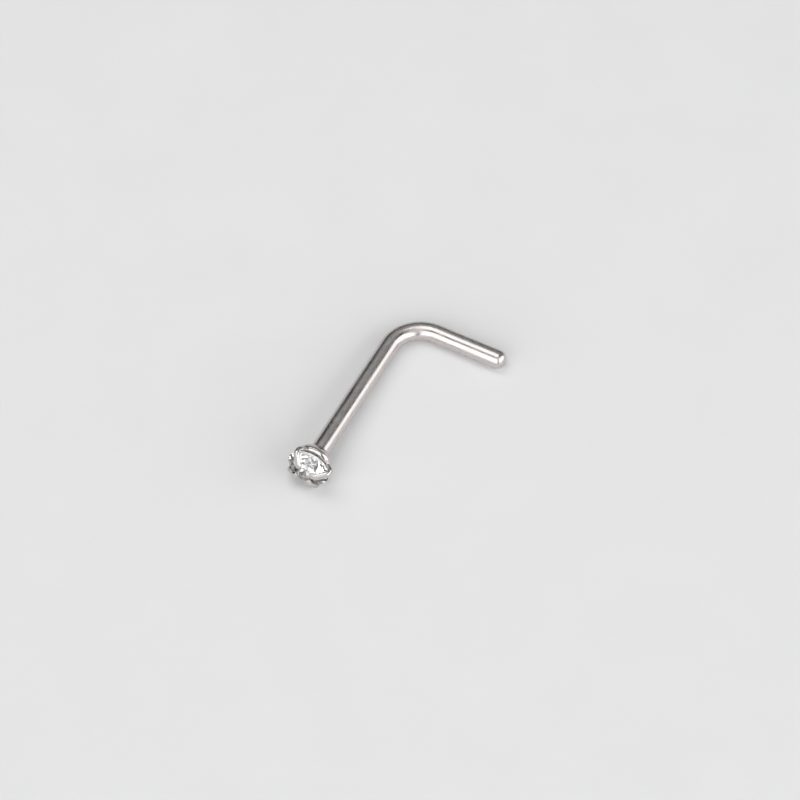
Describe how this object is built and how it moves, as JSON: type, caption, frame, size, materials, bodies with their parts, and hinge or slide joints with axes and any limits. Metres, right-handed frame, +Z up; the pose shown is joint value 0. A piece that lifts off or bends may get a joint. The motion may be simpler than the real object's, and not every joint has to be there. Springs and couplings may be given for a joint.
{
  "type": "nose stud",
  "caption": "L-shaped nose stud: a round steel wire bent at a right angle, with a domed leg and a claw-set round clear stone on the post.",
  "frame": {"origin": "under the middle of the stud's bounding box, on the surface that it lies on", "axes": "+X from the post to the leg's domed end, +Y from the stone to the bend, +Z up; the leg lies along X and the post along Y, rising 4 degrees towards the stone"},
  "size_m": [0.0056, 0.0096, 0.0019],
  "materials": {
    "polished_steel": "polished surgical steel with faint drawing lines along the wire",
    "clear_stone": "facet-cut and polished clear cubic zirconia"
  },
  "bodies": {
    "root": {"post_and_claws": "polished_steel", "stone": "clear_stone"}
  },
  "joints": []
}
